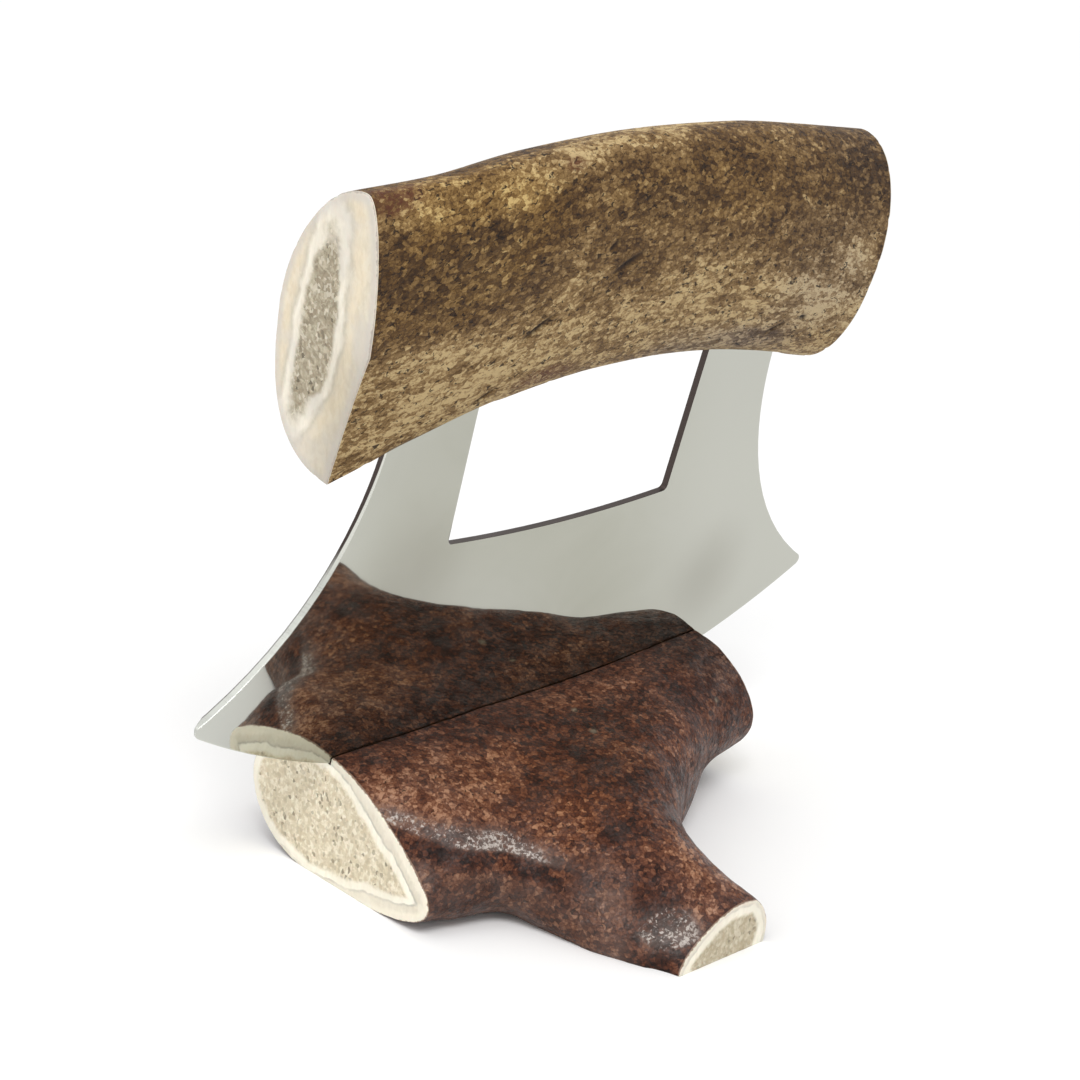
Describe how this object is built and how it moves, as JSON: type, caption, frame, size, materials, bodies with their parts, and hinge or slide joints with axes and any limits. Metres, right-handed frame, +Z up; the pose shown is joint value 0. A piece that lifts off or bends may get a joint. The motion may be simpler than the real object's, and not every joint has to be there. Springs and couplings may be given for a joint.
{
  "type": "ulu knife",
  "caption": "Ulu knife with a curved polished blade on glued tangs under an arched antler handle, seated in the leaning slot of a forked antler stand.",
  "frame": {"origin": "on the table, straight below the middle of the slot that the blade sits in", "axes": "+X along the blade and the slot, +Y away from the stand's tine, +Z up"},
  "size_m": [0.1501, 0.0753, 0.1281],
  "materials": {
    "polished_steel": "polished",
    "antler": "satin",
    "epoxy": "satin",
    "stained_antler": "satin"
  },
  "bodies": {
    "stand": {"stand": "stained_antler"},
    "ulu": {"blade": "polished_steel", "handle": "antler", "tang_epoxy_left": "epoxy", "tang_epoxy_right": "epoxy"}
  },
  "joints": [
    {"name": "ulu_lift", "type": "slide", "parent": "stand", "child": "ulu", "axis": [0, -0.1305, 0.9914], "range_m": [0, 0.06]}
  ]
}
